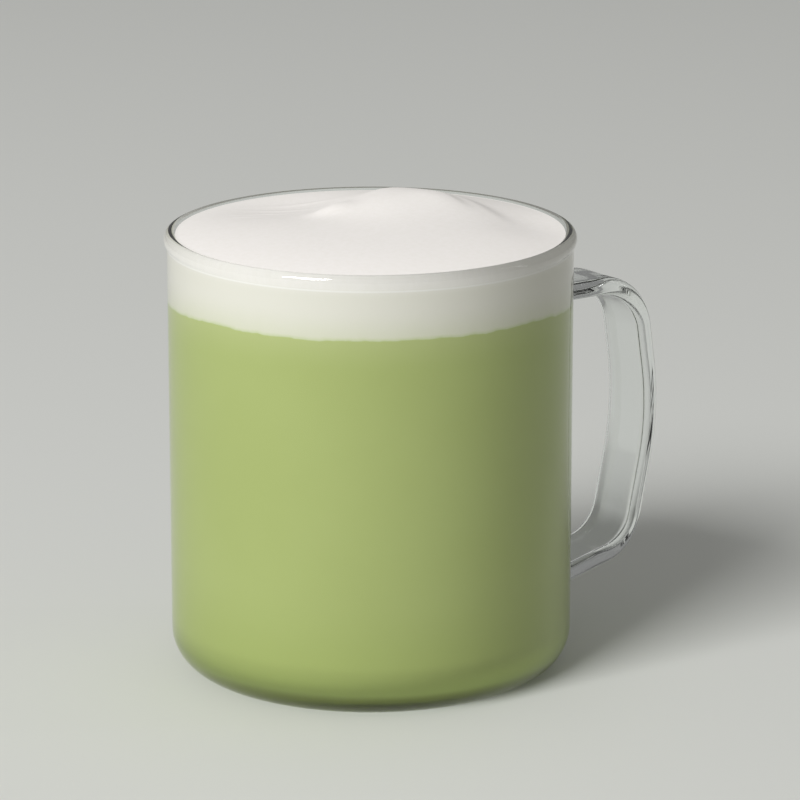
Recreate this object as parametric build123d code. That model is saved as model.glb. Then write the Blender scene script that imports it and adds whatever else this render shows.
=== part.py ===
"""A matcha latte in a glass mug, in millimetres.

The mug is a straight glass cup with a beaded rim and a flat strap handle fused to its wall.
It holds green tea with milk up to a level line, and above that line a layer of milk foam
that rises out of the mug in a soft mound.

Frame: +Z is up, +X points from the mug's axis towards the handle, and the origin is on
the axis in the plane that the mug stands on.
"""

from build123d import *
from dataclasses import dataclass
from math import cos, exp, radians, sin, tan
import os

# ---- glass cup -------------------------------------------------------------------
CUP_RADIUS = 42.0  # outside of the straight wall
CUP_HEIGHT = 93.0  # standing plane to the top of the rim
WALL = 2.2  # glass thickness of the straight wall
BASE = 3.8  # glass thickness at the middle of the wall's foot
OUTER_CORNER = 8.2  # outside radius between wall and base
INNER_CORNER = 7.5  # inside radius between wall and floor
RIM_SWELL = 0.65  # how far the rim's bead stands out of the wall
RIM_BEAD = 3.2  # height of the bead
GROOVE = 0.5  # inside rounding where the bead runs out into the wall
PUSH_UP = 0.9  # how far the underside is pushed up at its middle
PUSH_UP_RADIUS = 29.0  # radius of the pushed-up part of the underside

# ---- strap handle ----------------------------------------------------------------
STRAP_WIDTH = 13.6  # across the strap, along Y
STRAP_THICKNESS = 3.9
STRAP_EDGE = 1.6  # rounding of the strap's long edges
HANDLE_DROP = 19.1  # from the rim's top down to the level upper arm, at the strap's middle
HANDLE_FOOT = 9.7  # height of the strap's middle where it enters the wall at the bottom
HANDLE_HEEL = 15.4  # height of the lower bend's corner
HANDLE_REACH = 29.3  # from the wall to the grip's corner, along the strap's middle line
HANDLE_SHOULDER_IN = 4.5  # how much less the upper corner reaches
HANDLE_HEEL_IN = 6.4  # how much less the lower corner reaches
UPPER_BEND = 12.0  # radii of the strap's middle line
LOWER_BEND = 10.5
GRIP_EASE = 0.6  # share of the straight run beside the grip's corner that its bend takes up
WELD = 1.6  # fused glass in the corner between the strap and the wall

# ---- drink -----------------------------------------------------------------------
FOAM_EDGE = 0.5  # how far under the rim's top the foam meets the glass
FOAM_DEPTH = 12.9  # how deep the foam is at the glass
FOAM_RISE = 2.5  # how far the foam's middle stands above its edge without the mound
FOAM_FLATNESS = 1.6  # 1 is a plain dome; more is flatter in the middle, steeper at the glass
GRID = 45  # points along each side of the net that carries the foam's surface

inner_radius = CUP_RADIUS - WALL
foam_edge_level = CUP_HEIGHT - FOAM_EDGE
drink_level = foam_edge_level - FOAM_DEPTH


@dataclass(frozen=True)
class Swell:
    """One soft rise or hollow of the foam: where it is, how high, and how wide it spreads."""

    reach: float  # from the mug's axis to its middle
    bearing: float  # degrees from the handle, counterclockwise from above
    height: float  # below 0 for a hollow
    length: float  # half its spread along its own heading
    near: float  # half its spread to the right of its heading
    far: float  # half its spread to the left of its heading
    heading: float  # degrees, counterclockwise from the handle
    firmness: float  # 2 is a plain bell; more gives a flatter top and steeper sides

    def lift(self, x, y):
        """Height that this rise adds over the point x, y."""
        east = x - self.reach * cos(radians(self.bearing))
        north = y - self.reach * sin(radians(self.bearing))
        turn = radians(self.heading)
        along = (east * cos(turn) + north * sin(turn)) / self.length
        across = north * cos(turn) - east * sin(turn)
        across /= self.near if across < 0 else self.far
        return self.height * exp(-((along**2 + across**2) ** (self.firmness / 2)))


FOAM_SWELLS = (
    Swell(22.6, 37.0, 1.8, 13.0, 24.0, 11.0, -40.0, 2.4),  # the mound
    Swell(17.0, 57.0, 1.1, 13.0, 16.0, 3.0, 14.0, 2.8),  # the crest along one of its sides
    Swell(25.1, -1.0, 0.9, 11.0, 12.0, 3.4, -94.0, 2.6),  # the crest along its other side
    Swell(21.2, 7.0, 0.5, 6.0, 6.0, 2.2, -94.0, 2.4),  # a short fold on that crest
    Swell(11.7, 97.0, 0.9, 4.5, 4.0, 4.0, 4.0, 2.4),  # a small shoulder at the mound's foot
    Swell(32.0, 93.0, -2.2, 17.0, 19.0, 16.0, -26.0, 2.0),  # a shallow hollow beside the shoulder
    Swell(37.5, -27.0, -1.5, 12.0, 14.0, 14.0, -36.0, 2.2),  # and one beyond the other crest
)


def foam_height(x, y):
    """Height of the foam's surface over the point x, y."""
    share = min((x * x + y * y) / inner_radius**2, 1.0)
    level = foam_edge_level + FOAM_RISE * (1 - share**FOAM_FLATNESS)
    return level + sum(swell.lift(x, y) for swell in FOAM_SWELLS) * (1 - share**3)


def corner_rounded(width, height, radius):
    """A face from the axis out to width and up to height, its lower outer corner rounded."""
    face = Rectangle(width, height, align=(Align.MIN, Align.MIN))
    corner = face.vertices().filter_by(lambda v: v.X > width / 2 and v.Y < height / 2)
    return fillet(corner, radius)


def spun(profile):
    """A face drawn in radius and height, turned about Z with its seam away from the handle."""
    return Rot(0, 0, 180) * revolve(Plane.XZ * profile, Axis.Z)


def make_cup():
    """The glass cup without its handle."""
    bead_middle = CUP_HEIGHT - RIM_BEAD / 2
    wall_and_base = corner_rounded(CUP_RADIUS, bead_middle, OUTER_CORNER)
    hollow = Pos(0, BASE) * corner_rounded(inner_radius, CUP_HEIGHT, INNER_CORNER)
    bead_width = WALL + RIM_SWELL
    bead = Pos(inner_radius + bead_width / 2, bead_middle) * Ellipse(bead_width / 2, RIM_BEAD / 2)
    arch_radius = (PUSH_UP_RADIUS**2 + PUSH_UP**2) / (2 * PUSH_UP)
    arch = Pos(0, PUSH_UP - arch_radius) * Circle(arch_radius)
    half_arch = arch & Rectangle(CUP_RADIUS, CUP_HEIGHT, align=(Align.MIN, Align.MIN))
    profile = (wall_and_base - hollow - half_arch) + bead
    groove = profile.vertices().filter_by(lambda v: v.X > CUP_RADIUS - 0.01 and v.Y > bead_middle / 2)
    return spun(fillet(groove.sort_by(Axis.Y)[0], GROOVE))


def bend_run(radius, before, corner, after):
    """Length of straight run that a bend of this radius takes up on each side of a corner."""
    turn = (corner - before).get_angle(after - corner)
    return radius * tan(radians(turn / 2))


def handle_route():
    """The middle line of the strap, from the top of the wall round to its foot."""
    inside_wall = CUP_RADIUS - WALL / 2
    reach = CUP_RADIUS + HANDLE_REACH
    top = CUP_HEIGHT - HANDLE_DROP
    corners = [
        Vector(inside_wall, 0, top),
        Vector(reach - HANDLE_SHOULDER_IN, 0, top),
        Vector(reach, 0, (top + HANDLE_HEEL) / 2),
        Vector(reach - HANDLE_HEEL_IN, 0, HANDLE_HEEL),
        Vector(inside_wall, 0, HANDLE_FOOT),
    ]
    start, shoulder, waist, heel, end = corners
    above = (waist - shoulder).length - bend_run(UPPER_BEND, start, shoulder, waist)
    below = (heel - waist).length - bend_run(LOWER_BEND, waist, heel, end)
    grip_bend = GRIP_EASE * min(above, below) / bend_run(1, shoulder, waist, heel)
    return FilletPolyline(*corners, radius=[UPPER_BEND, grip_bend, LOWER_BEND])


def make_handle():
    """The flat strap with rounded edges, its ends inside the thickness of the wall."""
    route = handle_route()
    start = Plane(origin=route @ 0, x_dir=(0, 1, 0), z_dir=route % 0)
    return sweep(start * RectangleRounded(STRAP_WIDTH, STRAP_THICKNESS, STRAP_EDGE), path=route)


def make_mug():
    """Cup and handle as one piece of glass, fused with a small fillet."""
    cup = make_cup()
    handle = make_handle()
    mug = cup + handle
    return fillet(new_edges(cup, handle, combined=mug), WELD)


def make_latte():
    """The green tea with milk, filling the glass up to its level."""
    depth = drink_level - BASE
    return spun(Pos(0, BASE) * corner_rounded(inner_radius, depth, INNER_CORNER))


def make_foam():
    """The milk foam from the drink's level to its uneven top."""
    half = inner_radius + WALL
    step = 2 * half / (GRID - 1)
    line = [-half + step * i for i in range(GRID)]
    net = [[Vector(x, y, foam_height(x, y)) for y in line] for x in line]
    surface = Face.make_surface_from_array_of_points(net)
    block = Solid.extrude(surface, Vector(0, 0, -CUP_HEIGHT))
    layer = Pos(0, 0, drink_level) * Cylinder(
        inner_radius, CUP_HEIGHT, align=(Align.CENTER, Align.CENTER, Align.MIN)
    )
    return layer & block


PIECES = {"glass_mug": make_mug, "latte": make_latte, "milk_foam": make_foam}

os.makedirs("parts", exist_ok=True)
for node, make in PIECES.items():
    export_step(make(), f"parts/{node}.step")
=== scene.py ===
"""Looks of a matcha latte in a glass mug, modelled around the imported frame.

Everything is in metres in the frame of the part: +Z is up, +X points from the mug's axis
towards its handle, and the mug stands on Z = 0. All three pieces are modelled anew
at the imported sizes. The drink and the foam reach just into the glass, so that no air shows
between them and the wall.
"""

from __future__ import annotations

import logging
from dataclasses import dataclass, field
from enum import Enum
from math import asin, atan2, cos, degrees, exp, hypot, pi, radians, sin, tan, tau
from typing import Sequence

import bmesh
import bpy
from mathutils import Matrix, Vector


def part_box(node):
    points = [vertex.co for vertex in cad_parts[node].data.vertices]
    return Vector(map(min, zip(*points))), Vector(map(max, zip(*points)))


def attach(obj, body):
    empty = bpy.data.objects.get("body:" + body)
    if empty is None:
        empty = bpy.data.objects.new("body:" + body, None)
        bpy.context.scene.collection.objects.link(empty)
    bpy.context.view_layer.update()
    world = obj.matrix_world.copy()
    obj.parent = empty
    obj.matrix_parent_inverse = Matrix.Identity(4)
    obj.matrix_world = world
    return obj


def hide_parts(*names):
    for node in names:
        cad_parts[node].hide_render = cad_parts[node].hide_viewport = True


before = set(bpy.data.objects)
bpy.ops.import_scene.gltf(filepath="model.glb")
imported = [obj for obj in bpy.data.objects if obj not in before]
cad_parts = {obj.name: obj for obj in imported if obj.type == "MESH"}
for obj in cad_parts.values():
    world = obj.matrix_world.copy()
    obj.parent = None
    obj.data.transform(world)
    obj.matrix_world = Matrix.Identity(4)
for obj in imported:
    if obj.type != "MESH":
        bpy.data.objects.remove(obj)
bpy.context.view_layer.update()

LOG = logging.getLogger("matcha_latte")
MM = 0.001
BODY = "root"
WELD_GAP = 0.002 * MM
SEAT = 0.05 * MM  # how far the drink and the foam reach into the glass
FOAM_EDGE = 0.5 * MM  # how far under the rim's top the foam meets the glass

Color = tuple[float, float, float, float]
Span = tuple[float, float]


class Part(Enum):
    """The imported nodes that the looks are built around."""

    MUG = "glass_mug"
    LATTE = "latte"
    FOAM = "milk_foam"


class Slot(Enum):
    """The record's material slots."""

    GLASS = "glass"
    LATTE = "latte"
    FOAM = "foam"


def srgb(red: int, green: int, blue: int) -> Color:
    """Turns an 8-bit display colour into the linear colour that shaders take.

    Args:
        red: Red from 0 to 255.
        green: Green from 0 to 255.
        blue: Blue from 0 to 255.

    Returns:
        The linear colour, opaque.
    """

    def linear(value: int) -> float:
        """One channel, by the sRGB curve."""
        share = value / 255
        return share / 12.92 if share <= 0.04045 else ((share + 0.055) / 1.055) ** 2.4

    return (linear(red), linear(green), linear(blue), 1.0)


# ---------------------------------------------------------------------------- shader nodes


@dataclass
class Canvas:
    """A node tree and the few moves that finishes make on it."""

    tree: bpy.types.NodeTree

    def add(self, kind: str, **settings: object) -> bpy.types.Node:
        """Adds a node.

        Args:
            kind: The node's type name.
            settings: Properties of the node to set, by name.

        Returns:
            The new node.
        """
        node = self.tree.nodes.new(kind)
        for name, value in settings.items():
            setattr(node, name, value)
        return node

    def join(self, source: bpy.types.NodeSocket, target: bpy.types.NodeSocket) -> None:
        """Links an output to an input."""
        self.tree.links.new(source, target)

    def noise(
        self,
        place: bpy.types.NodeSocket,
        scale: float,
        detail: float = 3.0,
        roughness: float = 0.5,
    ) -> bpy.types.NodeSocket:
        """Adds a noise texture.

        Args:
            place: The coordinates that it reads.
            scale: Features per metre.
            detail: Octaves.
            roughness: How strong the finer octaves are.

        Returns:
            The noise's value, from 0 to 1.
        """
        node = self.add("ShaderNodeTexNoise")
        node.inputs["Scale"].default_value = scale
        node.inputs["Detail"].default_value = detail
        node.inputs["Roughness"].default_value = roughness
        self.join(place, node.inputs["Vector"])
        return node.outputs["Fac"]

    def remap(
        self,
        value: bpy.types.NodeSocket,
        low: float,
        high: float,
        to_low: float = 0.0,
        to_high: float = 1.0,
    ) -> bpy.types.NodeSocket:
        """Maps a range of a value smoothly onto another.

        Args:
            value: The value to map.
            low: Where the range starts.
            high: Where the range ends.
            to_low: What low becomes.
            to_high: What high becomes.

        Returns:
            The mapped value.
        """
        node = self.add("ShaderNodeMapRange", interpolation_type="SMOOTHSTEP")
        for name, number in (
            ("From Min", low),
            ("From Max", high),
            ("To Min", to_low),
            ("To Max", to_high),
        ):
            node.inputs[name].default_value = number
        self.join(value, node.inputs["Value"])
        return node.outputs["Result"]

    def blend(
        self,
        share: bpy.types.NodeSocket,
        first: bpy.types.NodeSocket | Color,
        second: bpy.types.NodeSocket | Color,
    ) -> bpy.types.NodeSocket:
        """Mixes two colours.

        Args:
            share: 0 for the first, 1 for the second.
            first: A colour, or the output that gives it.
            second: A colour, or the output that gives it.

        Returns:
            The mixed colour.
        """
        node = self.add("ShaderNodeMix", data_type="RGBA")
        self.join(share, node.inputs["Factor"])
        for source, name in ((first, "A"), (second, "B")):
            target = next(s for s in node.inputs if s.name == name and s.type == "RGBA")
            if isinstance(source, tuple):
                target.default_value = source
            else:
                self.join(source, target)
        return next(s for s in node.outputs if s.type == "RGBA")

    def maths(
        self,
        operation: str,
        first: bpy.types.NodeSocket,
        second: bpy.types.NodeSocket | float,
    ) -> bpy.types.NodeSocket:
        """Adds a step of arithmetic.

        Args:
            operation: The operation's name, such as ADD.
            first: The first number's source.
            second: The second number, or its source.

        Returns:
            The result.
        """
        node = self.add("ShaderNodeMath", operation=operation)
        self.join(first, node.inputs[0])
        if isinstance(second, (int, float)):
            node.inputs[1].default_value = second
        else:
            self.join(second, node.inputs[1])
        return node.outputs[0]


def blank_material(name: str) -> tuple[bpy.types.Material, Canvas, bpy.types.Node]:
    """Makes a material with one Principled shader.

    Args:
        name: The material's name.

    Returns:
        The material, its canvas and its Principled node.
    """
    material = bpy.data.materials.new(name)
    material.use_nodes = True
    canvas = Canvas(material.node_tree)
    return material, canvas, material.node_tree.nodes["Principled BSDF"]


@dataclass(frozen=True)
class Layers:
    """The colours of tea and foam from the base up, and how they run into each other.

    Low in the drink they hold painted shade and painted light, and on the foam a painted
    highlight under the rim's bead.

    The drink and the foam share them as one node group, so that the boundary may wander
    across the seam between the two pieces.
    """

    level: float
    rim: float
    tea: Color = srgb(178, 191, 118)
    deep: Color = srgb(175, 188, 114)
    # painted shade: a darker tea colour low in the drink
    painted_low_shade: Color = srgb(170, 184, 107)
    # painted light: a brighter tea colour where the drink's bottom corner curves under into shade
    foot: Color = srgb(188, 206, 118)
    # painted shade: a dark olive band along the drink's lowest edge
    painted_base_shade: Color = srgb(150, 164, 78)
    milky: Color = srgb(189, 199, 135)
    seep: Color = srgb(207, 215, 170)
    tinted: Color = srgb(219, 221, 193)
    side: Color = srgb(236, 233, 222)
    white: Color = srgb(249, 245, 241)
    cream: Color = srgb(246, 242, 237)
    # painted highlight: a bright line on the foam just under the rim's bead, for the light that the bead
    # gathers there
    painted_caustic: Color = srgb(252, 250, 245)
    painted_caustic_drop: float = 3.5 * MM
    painted_base_shade_span: Span = (3.9 * MM, 5.3 * MM)
    painted_foot_light_span: Span = (5.0 * MM, 10.5 * MM)
    painted_low_shade_span: Span = (9.0 * MM, 27.0 * MM)
    milky_span: Span = (-7.0 * MM, 4.0 * MM)
    change_span: Span = (-0.15 * MM, 0.15 * MM)
    seep_span: Span = (-0.2 * MM, 0.9 * MM)
    tinted_span: Span = (-3.5 * MM, 6.5 * MM)
    milk_drops: Span = (5.0 * MM, 1.5 * MM)
    painted_caustic_span: Span = (0.08 * MM, 0.36 * MM)
    patch_scale: float = 26.0
    wander_scale: float = 180.0
    grain_scale: float = 900.0
    drop: float = 0.25 * MM
    wander: float = 0.3 * MM
    sag: float = 1.3 * MM
    sag_way: tuple[float, float, float] = (0.809, -0.588, 0.0)
    sag_reach: Span = (32.0 * MM, 41.0 * MM)

    def boundary(self, canvas: Canvas, place: bpy.types.NodeSocket) -> bpy.types.NodeSocket:
        """Works out how much the boundary between tea and foam lies below its level.

        Args:
            canvas: The group's canvas.
            place: The point on the surface.

        Returns:
            The depth of the boundary below its level.
        """
        low, high = self.drop - self.wander, self.drop + self.wander
        waves = canvas.noise(place, self.wander_scale, 5.0, 0.6)
        waves = canvas.remap(waves, 0.2, 0.8, low, high)
        across = canvas.add("ShaderNodeVectorMath", operation="DOT_PRODUCT")
        canvas.join(place, across.inputs[0])
        across.inputs[1].default_value = self.sag_way
        reach = canvas.maths("ABSOLUTE", across.outputs["Value"], 0.0)
        sag = canvas.remap(reach, *self.sag_reach, 0.0, self.sag)
        return canvas.maths("ADD", waves, sag)

    def group(self) -> bpy.types.NodeTree:
        """Builds the node group.

        Returns:
            A node group with the input Vector and the output Color.
        """
        group = bpy.data.node_groups.new("tea_and_foam", "ShaderNodeTree")
        group.interface.new_socket("Vector", in_out="INPUT", socket_type="NodeSocketVector")
        group.interface.new_socket("Color", in_out="OUTPUT", socket_type="NodeSocketColor")
        canvas = Canvas(group)
        place = canvas.add("NodeGroupInput").outputs["Vector"]
        split = canvas.add("ShaderNodeSeparateXYZ")
        canvas.join(place, split.inputs["Vector"])
        height = split.outputs["Z"]
        above = canvas.maths("ADD", height, self.boundary(canvas, place))
        above = canvas.maths("SUBTRACT", above, self.level)

        patches = canvas.remap(canvas.noise(place, self.patch_scale, 3.0, 0.55), 0.32, 0.68)
        tea = canvas.blend(patches, self.tea, self.deep)
        # painted shade: the tea turns darker towards the bottom of the drink
        tea = canvas.blend(canvas.remap(height, *self.painted_low_shade_span), self.painted_low_shade, tea)
        # painted light: the tea turns brighter where its bottom corner curves under
        tea = canvas.blend(canvas.remap(height, *self.painted_foot_light_span), self.foot, tea)
        # painted shade: the tea turns dark olive along its lowest edge
        tea = canvas.blend(canvas.remap(height, *self.painted_base_shade_span), self.painted_base_shade, tea)
        tea = canvas.blend(canvas.remap(above, *self.milky_span), tea, self.milky)

        foam = canvas.blend(canvas.remap(above, *self.tinted_span), self.tinted, self.side)
        foam = canvas.blend(canvas.remap(above, *self.seep_span), self.seep, foam)
        # painted highlight: a bright line on the foam under the bead
        line = canvas.maths("SUBTRACT", height, self.rim - self.painted_caustic_drop)
        line = canvas.remap(canvas.maths("ABSOLUTE", line, 0.0), *self.painted_caustic_span)
        foam = canvas.blend(line, self.painted_caustic, foam)
        grain = canvas.remap(canvas.noise(place, self.grain_scale, 4.0, 0.6), 0.3, 0.7)
        milk = canvas.blend(grain, self.white, self.cream)
        low, high = (self.rim - drop for drop in self.milk_drops)
        foam = canvas.blend(canvas.remap(height, low, high), foam, milk)

        both = canvas.blend(canvas.remap(above, *self.change_span), tea, foam)
        canvas.join(both, canvas.add("NodeGroupOutput").inputs["Color"])
        return group


# -------------------------------------------------------------------------------- finishes


@dataclass(frozen=True)
class GlassFinish:
    """Clear borosilicate glass, polished by its own fire."""

    tint: Color = (0.945, 0.968, 0.957, 1.0)
    ior: float = 1.474
    roughness: float = 0.012
    lamp_tint: Color = (0.97, 0.98, 0.975, 1.0)

    def material(self) -> bpy.types.Material:
        """Makes the material. Lamps and soft light reach what stands behind the glass.

        Returns:
            The glass material.
        """
        material, canvas, glass = blank_material("borosilicate_glass")
        glass.inputs["Base Color"].default_value = self.tint
        glass.inputs["Transmission Weight"].default_value = 1.0
        glass.inputs["IOR"].default_value = self.ior
        glass.inputs["Roughness"].default_value = self.roughness
        shader = glass.outputs["BSDF"]
        path = canvas.add("ShaderNodeLightPath")
        clear = canvas.add("ShaderNodeBsdfTransparent")
        clear.inputs["Color"].default_value = self.lamp_tint
        for ray in ("Is Diffuse Ray", "Is Shadow Ray"):
            mix = canvas.add("ShaderNodeMixShader")
            canvas.join(path.outputs[ray], mix.inputs["Fac"])
            canvas.join(shader, mix.inputs[1])
            canvas.join(clear.outputs["BSDF"], mix.inputs[2])
            shader = mix.outputs["Shader"]
        canvas.join(shader, material.node_tree.nodes["Material Output"].inputs["Surface"])
        return material


@dataclass(frozen=True)
class LatteFinish:
    """Milky green tea behind glass."""

    layers: bpy.types.NodeTree
    roughness: float = 0.45
    specular: float = 0.2

    def material(self) -> bpy.types.Material:
        """Makes the material.

        Returns:
            The drink's material.
        """
        material, canvas, body = blank_material("milky_green_tea")
        layers = canvas.add("ShaderNodeGroup", node_tree=self.layers)
        canvas.join(canvas.add("ShaderNodeTexCoord").outputs["Object"], layers.inputs["Vector"])
        canvas.join(layers.outputs["Color"], body.inputs["Base Color"])
        body.inputs["Roughness"].default_value = self.roughness
        body.inputs["Specular IOR Level"].default_value = self.specular
        return material


@dataclass(frozen=True)
class FoamFinish:
    """Milk foam of very fine bubbles, matt and soft."""

    layers: bpy.types.NodeTree
    roughness: float = 0.8
    specular: float = 0.2
    bubble_scale: float = 3200.0
    bubble_height: float = 0.03 * MM
    bubble_strength: float = 0.2

    def material(self) -> bpy.types.Material:
        """Makes the material.

        Returns:
            The foam's material.
        """
        material, canvas, body = blank_material("milk_foam")
        place = canvas.add("ShaderNodeTexCoord").outputs["Object"]
        layers = canvas.add("ShaderNodeGroup", node_tree=self.layers)
        canvas.join(place, layers.inputs["Vector"])
        canvas.join(layers.outputs["Color"], body.inputs["Base Color"])
        body.inputs["Roughness"].default_value = self.roughness
        body.inputs["Specular IOR Level"].default_value = self.specular
        cells = canvas.add("ShaderNodeTexVoronoi", feature="SMOOTH_F1")
        cells.inputs["Scale"].default_value = self.bubble_scale
        cells.inputs["Smoothness"].default_value = 0.6
        canvas.join(place, cells.inputs["Vector"])
        grain = canvas.noise(place, self.bubble_scale, 4.0)
        bump = canvas.add("ShaderNodeBump")
        bump.inputs["Strength"].default_value = self.bubble_strength
        bump.inputs["Distance"].default_value = self.bubble_height
        relief = canvas.maths("SUBTRACT", grain, cells.outputs["Distance"])
        canvas.join(relief, bump.inputs["Height"])
        canvas.join(bump.outputs["Normal"], body.inputs["Normal"])
        return material


# --------------------------------------------------------------------------------- meshing


def mesh_object(name: str, shape: bmesh.types.BMesh, crease: float = 40.0) -> bpy.types.Object:
    """Closes a bmesh into an object at the origin, smooth but for its creases.

    Args:
        name: The object's name.
        shape: The bmesh, which is freed.
        crease: Degrees between faces from which their edge stays sharp.

    Returns:
        The object, linked to the scene.
    """
    bmesh.ops.remove_doubles(shape, verts=shape.verts, dist=WELD_GAP)
    bmesh.ops.recalc_face_normals(shape, faces=shape.faces)
    soften(shape, crease)
    mesh = bpy.data.meshes.new(name)
    shape.to_mesh(mesh)
    shape.free()
    piece = bpy.data.objects.new(name, mesh)
    bpy.context.scene.collection.objects.link(piece)
    return piece


def soften(shape: bmesh.types.BMesh, crease: float) -> None:
    """Shades all faces smooth and keeps sharp edges sharp.

    Args:
        shape: The bmesh to change.
        crease: Degrees between faces from which their edge stays sharp.
    """
    for face in shape.faces:
        face.smooth = True
    for edge in shape.edges:
        edge.smooth = edge.calc_face_angle(0.0) < radians(crease)


def row(shape: bmesh.types.BMesh, points: Sequence[Vector]) -> list[bmesh.types.BMVert]:
    """Adds a row of edges through points.

    Args:
        shape: The bmesh to add to.
        points: The points, in order.

    Returns:
        The row's vertices.
    """
    verts = [shape.verts.new(point) for point in points]
    for first, second in zip(verts, verts[1:]):
        shape.edges.new((first, second))
    return verts


def run(start: tuple[float, float], end: tuple[float, float], parts: int) -> list[Vector]:
    """Divides a straight stretch of a profile.

    Args:
        start: Radius and height of its start.
        end: Radius and height of its end.
        parts: How many parts to make of it.

    Returns:
        The points after the start, up to and with the end.
    """
    first, last = (Vector((r, 0.0, z)) for r, z in (start, end))
    return [first.lerp(last, i / parts) for i in range(1, parts + 1)]


def arc(
    centre: tuple[float, float],
    reach: tuple[float, float],
    sweep: tuple[float, float],
    parts: int,
) -> list[Vector]:
    """Draws an arc of a circle or an ellipse as a stretch of a profile.

    Args:
        centre: Radius and height of its centre.
        reach: Half its width and half its height.
        sweep: Degrees at its start and end, 0 outwards and 90 up.
        parts: How many parts to make of it.

    Returns:
        The points after the start, up to and with the end.
    """
    start, end = (radians(a) for a in sweep)
    angles = (start + (end - start) * i / parts for i in range(1, parts + 1))
    (across, up), (radius, level) = reach, centre
    return [Vector((radius + across * cos(a), 0.0, level + up * sin(a))) for a in angles]


def turned(shape: bmesh.types.BMesh, steps: int) -> None:
    """Spins everything in the bmesh once round Z."""
    bmesh.ops.spin(
        shape,
        geom=shape.verts[:] + shape.edges[:],
        cent=(0, 0, 0),
        axis=(0, 0, 1),
        angle=tau,
        steps=steps,
        use_merge=True,
    )


# --------------------------------------------------------------------------------- the mug


@dataclass
class Cup:
    """The straight glass cup with its beaded rim, thick base and pushed-up underside."""

    radius: float
    height: float
    wall: float = 2.2 * MM
    base: float = 3.8 * MM
    outer_corner: float = 8.2 * MM
    inner_corner: float = 7.5 * MM
    swell: float = 0.65 * MM
    bead: float = 3.2 * MM
    groove: float = 0.4 * MM
    groove_turn: float = 58.0
    push_up: float = 0.9 * MM
    push_up_radius: float = 29.0 * MM
    steps: int = 288
    corner_parts: int = 14
    bead_parts: int = 40
    wall_rows: int = 40

    @property
    def inner(self) -> float:
        """Inside radius of the wall."""
        return self.radius - self.wall

    @property
    def bead_reach(self) -> tuple[float, float]:
        """Half the bead's width and half its height."""
        return (self.wall + self.swell) / 2, self.bead / 2

    @property
    def bead_centre(self) -> tuple[float, float]:
        """Radius and height of the bead's middle."""
        return self.inner + self.bead_reach[0], self.height - self.bead_reach[1]

    def brim_radius(self, height: float) -> float:
        """Gives the inside radius at a height, which grows where the bead rounds off.

        Args:
            height: Height above the floor.

        Returns:
            The inside radius there.
        """
        (across, up), (middle, level) = self.bead_reach, self.bead_centre
        share = min(max((height - level) / up, 0.0), 1.0)
        return middle - across * (1 - share**2) ** 0.5

    def underside(self) -> list[Vector]:
        """Draws the underside, from the axis out to the flat foot.

        Returns:
            The points, with the one on the axis.
        """
        round_radius = (self.push_up_radius**2 + self.push_up**2) / (2 * self.push_up)
        spread = degrees(asin(self.push_up_radius / round_radius))
        centre = (0.0, self.push_up - round_radius)
        apex = Vector((0.0, 0.0, self.push_up))
        return [apex] + arc(centre, (round_radius, round_radius), (90.0, 90.0 - spread), 8)

    def brim(self) -> list[Vector]:
        """Draws the groove under the bead and the bead, from the outer wall to the inner.

        Returns:
            The points after the end of the outer wall.
        """
        (across, up), (middle, level) = self.bead_reach, self.bead_centre
        groove_centre = (self.radius + self.groove, self.groove_height())
        reach = (self.groove, self.groove)
        groove = arc(groove_centre, reach, (180.0, 180.0 - self.groove_turn), 8)
        meet = atan2((groove[-1].z - level) / up, (groove[-1].x - middle) / across)
        return groove + arc((middle, level), (across, up), (degrees(meet), 180.0), self.bead_parts)

    def groove_height(self) -> float:
        """Height where the groove leaves the straight wall."""
        (across, up), (middle, level) = self.bead_reach, self.bead_centre
        turn = radians(self.groove_turn)
        met = self.radius + self.groove * (1 - cos(turn))
        drop = up * (1 - ((met - middle) / across) ** 2) ** 0.5
        return level - drop - self.groove * sin(turn)

    def shape(self) -> bmesh.types.BMesh:
        """Spins the profile into the cup.

        Returns:
            The cup's closed bmesh.
        """
        outer_middle = self.radius - self.outer_corner
        inner_middle = self.inner - self.inner_corner
        outer_reach = (self.outer_corner, self.outer_corner)
        inner_reach = (self.inner_corner, self.inner_corner)
        inner_level = self.base + self.inner_corner
        profile = self.underside()
        profile += run((self.push_up_radius, 0.0), (outer_middle, 0.0), 2)
        profile += arc((outer_middle, self.outer_corner), outer_reach, (-90.0, 0.0), self.corner_parts)
        wall = (self.radius, self.outer_corner), (self.radius, self.groove_height())
        profile += run(*wall, self.wall_rows)
        profile += self.brim()
        profile += run((self.inner, self.bead_centre[1]), (self.inner, inner_level), self.wall_rows // 2)
        profile += arc((inner_middle, inner_level), inner_reach, (0.0, -90.0), self.corner_parts)
        profile += run((inner_middle, self.base), (0.0, self.base), 8)
        shape = bmesh.new()
        row(shape, profile)
        turned(shape, self.steps)
        return shape


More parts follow.
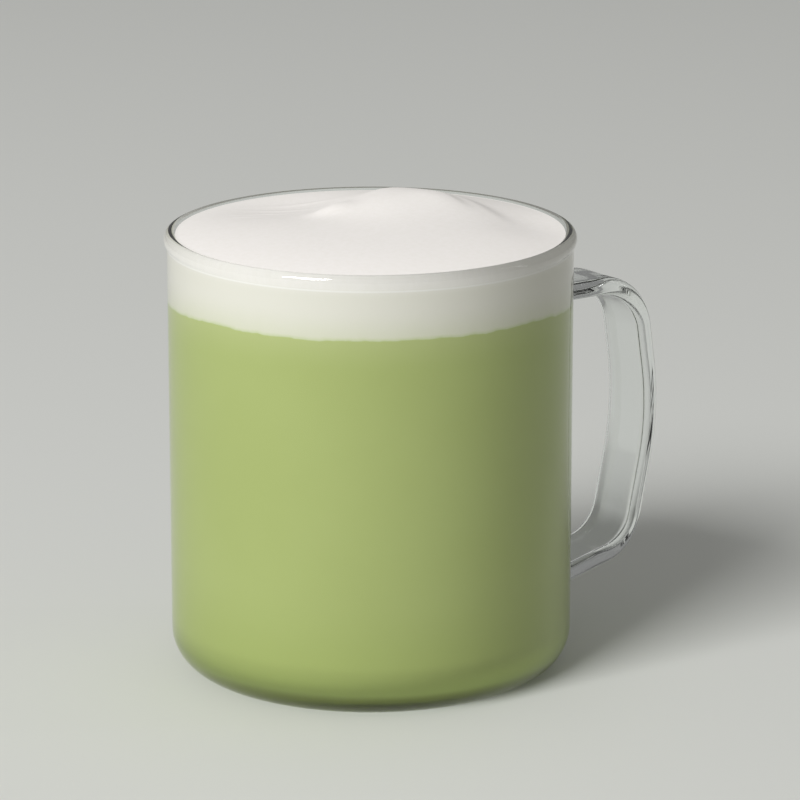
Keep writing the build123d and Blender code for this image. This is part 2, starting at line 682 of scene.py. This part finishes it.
@dataclass
class Handle:
    """The flat strap handle: straight runs and bends, flared where it joins the wall."""

    cup: Cup
    width: float = 13.6 * MM
    thickness: float = 3.9 * MM
    edge: float = 1.6 * MM
    drop: float = 19.1 * MM
    foot: float = 9.7 * MM
    heel: float = 15.4 * MM
    reach: float = 29.3 * MM
    shoulder_in: float = 4.5 * MM
    heel_in: float = 6.4 * MM
    upper_bend: float = 12.0 * MM
    lower_bend: float = 10.5 * MM
    grip_ease: float = 0.6
    weld: float = 1.6 * MM
    weld_stop: float = 0.3
    edge_parts: int = 10
    step: float = 0.9 * MM

    def corners(self) -> list[Vector]:
        """Places the corners of the strap's middle line, from the wall round to its foot.

        Returns:
            The five corners.
        """
        inside = self.cup.radius - self.cup.wall / 2
        reach = self.cup.radius + self.reach
        top = self.cup.height - self.drop
        return [
            Vector((inside, 0.0, top)),
            Vector((reach - self.shoulder_in, 0.0, top)),
            Vector((reach, 0.0, (top + self.heel) / 2)),
            Vector((reach - self.heel_in, 0.0, self.heel)),
            Vector((inside, 0.0, self.foot)),
        ]

    def section(self, shape: bmesh.types.BMesh) -> list[bmesh.types.BMVert | bmesh.types.BMEdge]:
        """Makes the strap's outline, upright at the start of its route.

        Args:
            shape: The bmesh to make it in.

        Returns:
            The outline's vertices and edges.
        """
        bmesh.ops.create_grid(shape, x_segments=1, y_segments=1, size=0.5)
        bmesh.ops.scale(shape, vec=(self.thickness, self.width, 1.0), verts=shape.verts)
        bmesh.ops.bevel(
            shape,
            geom=shape.verts[:],
            offset=self.edge,
            offset_type="OFFSET",
            segments=self.edge_parts,
            profile=0.5,
            affect="VERTICES",
            material=-1,
        )
        bmesh.ops.delete(shape, geom=shape.faces[:], context="FACES_ONLY")
        long_edges = [e for e in shape.edges if e.calc_length() > self.edge]
        bmesh.ops.subdivide_edges(shape, edges=long_edges, cuts=4)
        upright = Matrix.Rotation(pi / 2, 3, "Y")
        bmesh.ops.rotate(shape, cent=(0, 0, 0), matrix=upright, verts=shape.verts)
        bmesh.ops.translate(shape, vec=self.corners()[0], verts=shape.verts)
        return shape.verts[:] + shape.edges[:]

    def bends(self) -> list[tuple[float, float, float]]:
        """Works out each bend's radius, its turn, and the straight run that it takes up.

        Returns:
            Radius, turn in radians and run, for the three bends in order.
        """
        points = self.corners()
        legs = [b - a for a, b in zip(points, points[1:])]
        turns = [a.angle(b) for a, b in zip(legs, legs[1:])]
        upper = self.upper_bend * tan(turns[0] / 2)
        lower = self.lower_bend * tan(turns[2] / 2)
        free = min(legs[1].length - upper, legs[2].length - lower)
        grip = self.grip_ease * free
        radii = (self.upper_bend, grip / tan(turns[1] / 2), self.lower_bend)
        return list(zip(radii, turns, (upper, grip, lower)))

    def shape(self) -> bmesh.types.BMesh:
        """Draws the section along the route, closes its ends and flares its roots.

        Returns:
            The strap's closed bmesh.
        """
        shape = bmesh.new()
        last = self.section(shape)
        points = self.corners()
        bends = self.bends() + [(0.0, 0.0, 0.0)]
        used = 0.0
        for (start, end), (radius, turn, taken) in zip(zip(points, points[1:]), bends):
            leg = end - start
            along = leg.normalized()
            last = self.straight(shape, last, along * (leg.length - used - taken))
            if radius:
                centre = end - along * taken + along.cross(Vector((0, 1, 0))) * -radius
                last = bmesh.ops.spin(
                    shape,
                    geom=last,
                    cent=centre,
                    axis=(0, 1, 0),
                    angle=turn,
                    steps=max(6, round(radius * turn / self.step)),
                )["geom_last"]
            used = taken
        bmesh.ops.holes_fill(shape, edges=[e for e in shape.edges if e.is_boundary])
        bmesh.ops.remove_doubles(shape, verts=shape.verts, dist=WELD_GAP)
        bmesh.ops.recalc_face_normals(shape, faces=shape.faces)
        self.flare(shape)
        return shape

    def straight(
        self,
        shape: bmesh.types.BMesh,
        outline: list[bmesh.types.BMVert | bmesh.types.BMEdge],
        move: Vector,
    ) -> list[bmesh.types.BMVert | bmesh.types.BMEdge]:
        """Draws the outline straight on, in short steps.

        Args:
            shape: The bmesh that holds it.
            outline: Its vertices and edges.
            move: How far and which way.

        Returns:
            The vertices and edges of the outline at the end.
        """
        parts = max(1, round(move.length / self.step))
        moved = bmesh.ops.spin(
            shape,
            geom=outline,
            axis=(0, 1, 0),
            angle=0.0,
            dvec=move / parts,
            steps=parts,
        )
        return moved["geom_last"]

    def flare(self, shape: bmesh.types.BMesh) -> None:
        """Swells the strap towards the wall, as glass does where it is fused on.

        Args:
            shape: The strap's bmesh.
        """
        shape.normal_update()
        stop = self.weld * self.weld_stop
        slope = (self.weld - stop) / (self.weld**2 - (self.weld - stop) ** 2) ** 0.5
        moves = []
        for vert in shape.verts:
            gap = hypot(vert.co.x, vert.co.y) - self.cup.radius
            if gap >= self.weld:
                continue
            far = max(gap, stop)
            grown = self.weld - (self.weld**2 - (self.weld - far) ** 2) ** 0.5
            grown += max(0.0, far - gap) * slope
            out = Vector((0.0, vert.normal.y, vert.normal.z))
            if out.length > 0.2:
                moves.append((vert, out.normalized() * min(grown, self.weld)))
        for vert, move in moves:
            vert.co += move


@dataclass
class Mug:
    """Cup and handle, fused into one piece of glass."""

    cup: Cup
    handle: Handle
    crease: float = 28.0
    finish: GlassFinish = field(default_factory=GlassFinish)

    def build(self) -> bpy.types.Object:
        """Fuses the handle to the cup and dresses the mug in glass.

        Returns:
            The mug's object.
        """
        mug = mesh_object("mug_glass", self.cup.shape())
        strap = mesh_object("strap", self.handle.shape())
        union = mug.modifiers.new("fuse", "BOOLEAN")
        union.operation = "UNION"
        union.solver = "EXACT"
        union.object = strap
        graph = bpy.context.evaluated_depsgraph_get()
        fused = bpy.data.meshes.new_from_object(mug.evaluated_get(graph))
        mug.modifiers.clear()
        shape = bmesh.new()
        shape.from_mesh(fused)
        soften(shape, self.crease)
        shape.to_mesh(mug.data)
        shape.free()
        bpy.data.objects.remove(strap)
        mug.data.materials.clear()
        mug.data.materials.append(self.finish.material())
        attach(mug, BODY)
        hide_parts(Part.MUG.value)
        return mug


@dataclass
class Latte:
    """The green tea with milk, from the glass floor to its level."""

    finish: LatteFinish
    floor: float
    level: float
    radius: float
    corner: float = 7.5 * MM
    steps: int = 160
    corner_steps: int = 12

    def build(self) -> bpy.types.Object:
        """Makes the drink as a beveled cylinder.

        Returns:
            The drink's object.
        """
        shape = bmesh.new()
        middle = (self.floor + self.level) / 2
        bmesh.ops.create_cone(
            shape,
            cap_ends=True,
            segments=self.steps,
            radius1=self.radius,
            radius2=self.radius,
            depth=self.level - self.floor,
            matrix=Matrix.Translation((0, 0, middle)),
        )
        foot = [e for e in shape.edges if all(v.co.z < middle for v in e.verts)]
        bmesh.ops.bevel(
            shape,
            geom=foot,
            offset=self.corner,
            offset_type="OFFSET",
            segments=self.corner_steps,
            profile=0.5,
            affect="EDGES",
            material=-1,
        )
        piece = mesh_object("latte_body", shape)
        piece.data.materials.append(self.finish.material())
        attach(piece, BODY)
        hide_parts(Part.LATTE.value)
        return piece


@dataclass(frozen=True)
class Swell:
    """One soft rise of the foam, in millimetres and degrees."""

    reach: float
    bearing: float
    height: float
    length: float
    near: float
    far: float
    heading: float
    firmness: float = 2.0

    def lift(self, x: float, y: float) -> float:
        """Works out how much the rise adds.

        Args:
            x: Place along X, in millimetres.
            y: Place along Y, in millimetres.

        Returns:
            The added height, in millimetres.
        """
        east = x - self.reach * cos(radians(self.bearing))
        north = y - self.reach * sin(radians(self.bearing))
        turn = radians(self.heading)
        along = (east * cos(turn) + north * sin(turn)) / self.length
        across = north * cos(turn) - east * sin(turn)
        across /= self.near if across < 0 else self.far
        return self.height * exp(-((along**2 + across**2) ** (self.firmness / 2)))


@dataclass
class Foam:
    """The milk foam: a drum with an uneven, softly heaped top."""

    finish: FoamFinish
    cup: Cup
    level: float
    edge: float
    inset: float
    rise: float = 2.5
    flatness: float = 1.6
    rings: int = 96
    steps: int = 288
    side_rows: int = 10
    brim_rows: int = 4
    swells: Sequence[Swell] = (
        Swell(22.6, 37.0, 1.8, 13.0, 24.0, 11.0, -40.0, 2.4),  # the mound
        Swell(17.0, 57.0, 1.1, 13.0, 16.0, 3.0, 14.0, 2.8),  # the crests at its sides
        Swell(25.1, -1.0, 0.9, 11.0, 12.0, 3.4, -94.0, 2.6),
        Swell(21.2, 7.0, 0.5, 6.0, 6.0, 2.2, -94.0, 2.4),  # a fold and a shoulder
        Swell(11.7, 97.0, 0.9, 4.5, 4.0, 4.0, 4.0, 2.4),
        Swell(32.0, 93.0, -2.2, 17.0, 19.0, 16.0, -26.0),  # the hollows beyond them
        Swell(37.5, -27.0, -1.5, 12.0, 14.0, 14.0, -36.0, 2.2),
        Swell(26.1, 111.5, 0.16, 6.0, 0.9, 0.9, -32.0),  # thin ripples
        Swell(26.9, 99.0, 0.16, 7.0, 1.0, 1.0, -42.0),
        Swell(27.9, 123.0, 0.14, 5.0, 0.8, 0.8, -28.0),
        Swell(29.5, 82.3, 0.2, 9.0, 1.2, 1.2, -26.0),
    )

    def height(self, x: float, y: float) -> float:
        """Gives the foam's surface over a point.

        Args:
            x: Place along X, in metres.
            y: Place along Y, in metres.

        Returns:
            The surface's height, in metres.
        """
        share = min(hypot(x, y) / self.cup.inner, 1.0) ** 2
        lift = sum(swell.lift(x / MM, y / MM) for swell in self.swells)
        return self.edge + (self.rise * (1 - share**self.flatness) + lift * (1 - share**3)) * MM

    def build(self) -> bpy.types.Object:
        """Makes the foam: a spun disc raised by the height function, with its side below.

        Returns:
            The foam's object.
        """
        shape = bmesh.new()
        wide = self.cup.inner + self.inset
        brim = self.cup.brim_radius(self.edge) + self.inset
        side = run((wide, self.level), (wide, self.cup.bead_centre[1]), self.side_rows)
        side += [
            Vector((self.cup.brim_radius(p.z) + self.inset, 0.0, p.z))
            for p in run((wide, self.cup.bead_centre[1]), (wide, self.edge), self.brim_rows)
        ]
        low = [Vector((0.0, 0.0, self.level)), Vector((wide, 0.0, self.level))]
        row(shape, low + side + run((brim, self.edge), (0.0, self.edge), self.rings))
        turned(shape, self.steps)
        bmesh.ops.remove_doubles(shape, verts=shape.verts, dist=WELD_GAP)
        for vert in shape.verts:
            if vert.co.z > self.edge - WELD_GAP:
                vert.co.z = self.height(vert.co.x, vert.co.y)
        piece = mesh_object("foam_body", shape)
        piece.data.materials.append(self.finish.material())
        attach(piece, BODY)
        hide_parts(Part.FOAM.value)
        return piece


# ------------------------------------------------------------------------------- the stage


@dataclass(frozen=True)
class Softbox:
    """A studio lamp aimed at the drink, placed by its bearing from the camera."""

    name: str
    bearing: float
    elevation: float
    distance: float
    width: float
    height: float
    watts: float
    aim: tuple[float, float, float] = (0.0, 0.0, 0.05)

    def build(self, studio: Studio) -> bpy.types.Object:
        """Hangs the lamp.

        Args:
            studio: The studio that it stands in.

        Returns:
            The lamp's object.
        """
        data = bpy.data.lights.new(self.name, "AREA")
        data.shape = "RECTANGLE"
        data.size = self.width
        data.size_y = self.height
        data.energy = self.watts
        away = self.distance * cos(radians(self.elevation))
        bearing = radians(self.bearing)
        place = Vector(studio.out(away * sin(bearing), -away * cos(bearing), 0.0))
        place.z = self.aim[2] + self.distance * sin(radians(self.elevation))
        lamp = bpy.data.objects.new(self.name, data)
        lamp.location = place
        lamp.rotation_euler = (Vector(self.aim) - place).to_track_quat("-Z", "Y").to_euler()
        bpy.context.scene.collection.objects.link(lamp)
        return lamp


@dataclass
class Studio:
    """The pale floor, the soft light and the camera."""

    floor_color: Color = srgb(218, 219, 215)
    bounce_color: Color = (0.5, 0.5, 0.47, 1.0)
    sky_strength: float = 0.22
    lamps: Sequence[Softbox] = (
        Softbox("key", -40.0, 39.0, 3.0, 1.2, 1.2, 82.0),
        Softbox("top", 170.0, 78.0, 2.2, 1.2, 1.2, 3.0),
        Softbox("edge", 95.0, 26.0, 1.7, 0.05, 1.1, 0.5),
    )
    handle_turn: float = 36.0
    tilt: float = 15.044
    distance: float = 894.5 * MM
    aim_side: float = 6.104 * MM
    aim_height: float = 56.515 * MM
    lens: float = 193.22

    def out(self, side: float, depth: float, height: float) -> tuple[float, float, float]:
        """Places a point by what the camera calls side and depth.

        Args:
            side: Metres to the camera's right of the mug's axis.
            depth: Metres beyond the mug's axis, away from the camera.
            height: Metres above the floor.

        Returns:
            The point in the part's frame.
        """
        turn = radians(self.handle_turn)
        return (
            side * cos(turn) + depth * sin(turn),
            depth * cos(turn) - side * sin(turn),
            height,
        )

    def build_floor(self) -> bpy.types.Object:
        """Lays the floor, pale to the eye and in the glass, and duller in the light it returns.

        Returns:
            The floor's object.
        """
        shape = bmesh.new()
        bmesh.ops.create_grid(shape, x_segments=1, y_segments=1, size=6.0)
        floor = mesh_object("floor", shape)
        material, canvas, body = blank_material("pale_floor")
        path = canvas.add("ShaderNodeLightPath")
        seen = path.outputs["Is Camera Ray"]
        for ray in ("Is Glossy Ray", "Is Transmission Ray"):
            seen = canvas.maths("MAXIMUM", seen, path.outputs[ray])
        canvas.join(canvas.blend(seen, self.bounce_color, self.floor_color), body.inputs["Base Color"])
        body.inputs["Roughness"].default_value = 0.9
        body.inputs["Specular IOR Level"].default_value = 0.1
        floor.data.materials.append(material)
        return floor

    def build_world(self) -> None:
        """Sets the soft light that comes from all round."""
        world = bpy.data.worlds.new("soft_room")
        world.use_nodes = True
        sky = world.node_tree.nodes["Background"]
        sky.inputs["Color"].default_value = (1.0, 1.0, 0.99, 1.0)
        sky.inputs["Strength"].default_value = self.sky_strength
        bpy.context.scene.world = world

    def build_lamps(self) -> list[bpy.types.Object]:
        """Hangs the lamps.

        Returns:
            The lamps' objects.
        """
        return [lamp.build(self) for lamp in self.lamps]

    def build_camera(self) -> bpy.types.Object:
        """Stands the camera up.

        Returns:
            The camera's object.
        """
        data = bpy.data.cameras.new("camera")
        data.sensor_width = 36.0
        data.lens = self.lens
        camera = bpy.data.objects.new("camera", data)
        tilt = radians(self.tilt)
        back = self.distance * cos(tilt)
        rise = self.distance * sin(tilt)
        camera.location = self.out(self.aim_side, -back, self.aim_height + rise)
        aim = Vector(self.out(self.aim_side, 0.0, self.aim_height))
        camera.rotation_euler = (aim - camera.location).to_track_quat("-Z", "Y").to_euler()
        bpy.context.scene.collection.objects.link(camera)
        bpy.context.scene.camera = camera
        bpy.context.scene.view_settings.view_transform = "Standard"
        return camera


def main() -> None:
    """Builds the stage and the drink, and reports each piece."""
    logging.basicConfig(level=logging.INFO, format="%(name)s: %(message)s")
    studio = Studio()
    studio.build_camera()
    studio.build_floor()
    studio.build_world()
    studio.build_lamps()

    latte_low, latte_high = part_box(Part.LATTE.value)
    _, mug_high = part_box(Part.MUG.value)
    level = latte_high.z
    layers = Layers(level, mug_high.z).group()
    cup = Cup(radius=mug_high.y - Cup.swell, height=mug_high.z)
    pieces = [
        Mug(cup, Handle(cup)).build(),
        Latte(
            LatteFinish(layers),
            floor=latte_low.z - SEAT,
            level=level,
            radius=cup.inner + SEAT,
            corner=cup.inner_corner + SEAT,
        ).build(),
        Foam(
            FoamFinish(layers),
            cup=cup,
            level=level - SEAT,
            edge=cup.height - FOAM_EDGE,
            inset=SEAT,
        ).build(),
    ]
    for piece in pieces:
        LOG.info("%s: %d faces", piece.name, len(piece.data.polygons))


if __name__ == "__main__":
    main()
